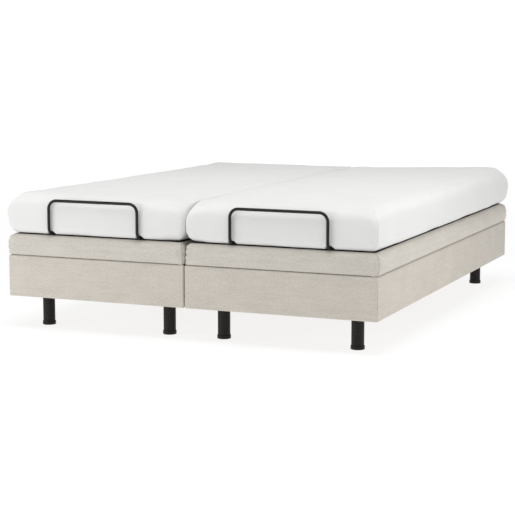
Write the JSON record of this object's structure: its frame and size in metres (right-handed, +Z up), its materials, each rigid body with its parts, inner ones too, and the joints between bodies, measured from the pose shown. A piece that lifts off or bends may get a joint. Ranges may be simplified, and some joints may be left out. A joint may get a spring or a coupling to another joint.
{
  "type": "adjustable bed base",
  "caption": "Split adjustable bed: upholstered boxes on round legs with folding padded decks, thick mattresses and rod retainers at the foot end.",
  "frame": {"origin": "on the floor under the middle of the bed's outline, midway between the two units", "axes": "+Z up, +Y along the bed towards the head end, +X across it, to the right seen from the foot end"},
  "size_m": [1.596, 2.024, 0.548],
  "materials": {
    "box_fabric": "matte woven upholstery",
    "deck_fabric": "matte woven upholstery with a black non-slip top",
    "mattress_fabric": "matte white knit",
    "board": "raw board",
    "plywood": "raw plywood",
    "frame_steel": "satin powder coat",
    "lift_steel": "satin powder coat",
    "retainer_steel": "satin powder coat",
    "leg_metal": "matte textured powder coat",
    "link_steel": "zinc plated",
    "cap_plastic": "matte moulded plastic",
    "clamp_plastic": "matte moulded plastic",
    "roller_nylon": "natural nylon",
    "drive_plastic": "matte moulded plastic",
    "inlet_plastic": "matte moulded plastic",
    "slider_plastic": "acetal",
    "buffer_rubber": "matte rubber"
  },
  "bodies": {
    "root": {"corner_blocks": "board", "legs": "leg_metal", "leg_caps": "cap_plastic", "rest_buffers": "buffer_rubber", "mains_inlets": "inlet_plastic", "link_plates": "link_steel", "left_box_boards": "board", "left_box_cover": "box_fabric", "left_carrier_frame": "frame_steel", "left_drive_housing": "drive_plastic", "left_seat_panel": "plywood", "left_seat_pad": "deck_fabric", "left_seat_mattress": "mattress_fabric", "right_box_boards": "board", "right_box_cover": "box_fabric", "right_carrier_frame": "frame_steel", "right_drive_housing": "drive_plastic", "right_seat_panel": "plywood", "right_seat_pad": "deck_fabric", "right_seat_mattress": "mattress_fabric"},
    "left_back": {"left_back_rails": "frame_steel", "left_back_panel": "plywood", "left_back_pad": "deck_fabric", "left_back_mattress": "mattress_fabric"},
    "left_thigh": {"left_thigh_rails": "frame_steel", "left_thigh_panel": "plywood", "left_thigh_pad": "deck_fabric", "left_thigh_mattress": "mattress_fabric"},
    "left_calf": {"left_calf_rails": "frame_steel", "left_calf_panel": "plywood", "left_calf_pad": "deck_fabric", "left_calf_mattress": "mattress_fabric", "left_retainer_bar": "retainer_steel", "left_bar_clamps": "clamp_plastic"},
    "left_back_shaft": {"left_back_lift_shaft": "lift_steel"},
    "left_thigh_shaft": {"left_thigh_lift_shaft": "lift_steel"},
    "left_back_rollers": {"left_back_lift_rollers": "roller_nylon"},
    "left_thigh_rollers": {"left_thigh_lift_rollers": "roller_nylon"},
    "left_back_pusher": {"left_back_slider": "slider_plastic"},
    "left_thigh_pusher": {"left_thigh_slider": "slider_plastic"},
    "right_back": {"right_back_rails": "frame_steel", "right_back_panel": "plywood", "right_back_pad": "deck_fabric", "right_back_mattress": "mattress_fabric"},
    "right_thigh": {"right_thigh_rails": "frame_steel", "right_thigh_panel": "plywood", "right_thigh_pad": "deck_fabric", "right_thigh_mattress": "mattress_fabric"},
    "right_calf": {"right_calf_rails": "frame_steel", "right_calf_panel": "plywood", "right_calf_pad": "deck_fabric", "right_calf_mattress": "mattress_fabric", "right_retainer_bar": "retainer_steel", "right_bar_clamps": "clamp_plastic"},
    "right_back_shaft": {"right_back_lift_shaft": "lift_steel"},
    "right_thigh_shaft": {"right_thigh_lift_shaft": "lift_steel"},
    "right_back_rollers": {"right_back_lift_rollers": "roller_nylon"},
    "right_thigh_rollers": {"right_thigh_lift_rollers": "roller_nylon"},
    "right_back_pusher": {"right_back_slider": "slider_plastic"},
    "right_thigh_pusher": {"right_thigh_slider": "slider_plastic"}
  },
  "joints": [
    {"name": "left_back_lift", "type": "hinge", "parent": "root", "child": "left_back", "pos_m": [-0.4, 0.23, 0.283], "axis": [1, 0, 0], "range_deg": [0, 60]},
    {"name": "left_thigh_lift", "type": "hinge", "parent": "root", "child": "left_thigh", "pos_m": [-0.4, -0.03, 0.283], "axis": [-1, 0, 0], "range_deg": [0, 35]},
    {"name": "left_knee", "type": "hinge", "parent": "left_thigh", "child": "left_calf", "pos_m": [-0.4, -0.38, 0.283], "axis": [-1, 0, 0], "range_deg": [-54, 0]},
    {"name": "left_back_shaft_turn", "type": "hinge", "parent": "root", "child": "left_back_shaft", "pos_m": [-0.4, 0.39339, 0.26004], "axis": [1, 0, 0], "range_deg": [0, 120]},
    {"name": "left_thigh_shaft_turn", "type": "hinge", "parent": "root", "child": "left_thigh_shaft", "pos_m": [-0.4, -0.14249, 0.25909], "axis": [-1, 0, 0], "range_deg": [0, 70]},
    {"name": "left_back_roller_spin", "type": "hinge", "parent": "left_back_shaft", "child": "left_back_rollers", "pos_m": [-0.4, 0.55679, 0.283], "axis": [1, 0, 0], "continuous": true},
    {"name": "left_thigh_roller_spin", "type": "hinge", "parent": "left_thigh_shaft", "child": "left_thigh_rollers", "pos_m": [-0.4, -0.25497, 0.283], "axis": [1, 0, 0], "continuous": true},
    {"name": "left_back_push", "type": "slide", "parent": "root", "child": "left_back_pusher", "axis": [0, 1, 0], "range_m": [0, 0.078]},
    {"name": "left_thigh_push", "type": "slide", "parent": "root", "child": "left_thigh_pusher", "axis": [0, -1, 0], "range_m": [0, 0.0517]},
    {"name": "right_back_lift", "type": "hinge", "parent": "root", "child": "right_back", "pos_m": [0.4, 0.23, 0.283], "axis": [1, 0, 0], "range_deg": [0, 60]},
    {"name": "right_thigh_lift", "type": "hinge", "parent": "root", "child": "right_thigh", "pos_m": [0.4, -0.03, 0.283], "axis": [-1, 0, 0], "range_deg": [0, 35]},
    {"name": "right_knee", "type": "hinge", "parent": "right_thigh", "child": "right_calf", "pos_m": [0.4, -0.38, 0.283], "axis": [-1, 0, 0], "range_deg": [-54, 0]},
    {"name": "right_back_shaft_turn", "type": "hinge", "parent": "root", "child": "right_back_shaft", "pos_m": [0.4, 0.39339, 0.26004], "axis": [1, 0, 0], "range_deg": [0, 120]},
    {"name": "right_thigh_shaft_turn", "type": "hinge", "parent": "root", "child": "right_thigh_shaft", "pos_m": [0.4, -0.14249, 0.25909], "axis": [-1, 0, 0], "range_deg": [0, 70]},
    {"name": "right_back_roller_spin", "type": "hinge", "parent": "right_back_shaft", "child": "right_back_rollers", "pos_m": [0.4, 0.55679, 0.283], "axis": [1, 0, 0], "continuous": true},
    {"name": "right_thigh_roller_spin", "type": "hinge", "parent": "right_thigh_shaft", "child": "right_thigh_rollers", "pos_m": [0.4, -0.25497, 0.283], "axis": [1, 0, 0], "continuous": true},
    {"name": "right_back_push", "type": "slide", "parent": "root", "child": "right_back_pusher", "axis": [0, 1, 0], "range_m": [0, 0.078]},
    {"name": "right_thigh_push", "type": "slide", "parent": "root", "child": "right_thigh_pusher", "axis": [0, -1, 0], "range_m": [0, 0.0517]}
  ],
  "couplings": [
    {"joint": "left_knee", "follows": "left_thigh_lift", "ratio": -1.534},
    {"joint": "left_back_shaft_turn", "follows": "left_back_lift", "ratio": 2},
    {"joint": "left_thigh_shaft_turn", "follows": "left_thigh_lift", "ratio": 2},
    {"joint": "left_back_push", "follows": "left_back_lift", "m_per_rad": 0.074429},
    {"joint": "left_thigh_push", "follows": "left_thigh_lift", "m_per_rad": 0.084506},
    {"joint": "right_knee", "follows": "right_thigh_lift", "ratio": -1.534},
    {"joint": "right_back_shaft_turn", "follows": "right_back_lift", "ratio": 2},
    {"joint": "right_thigh_shaft_turn", "follows": "right_thigh_lift", "ratio": 2},
    {"joint": "right_back_push", "follows": "right_back_lift", "m_per_rad": 0.074429},
    {"joint": "right_thigh_push", "follows": "right_thigh_lift", "m_per_rad": 0.084506}
  ]
}
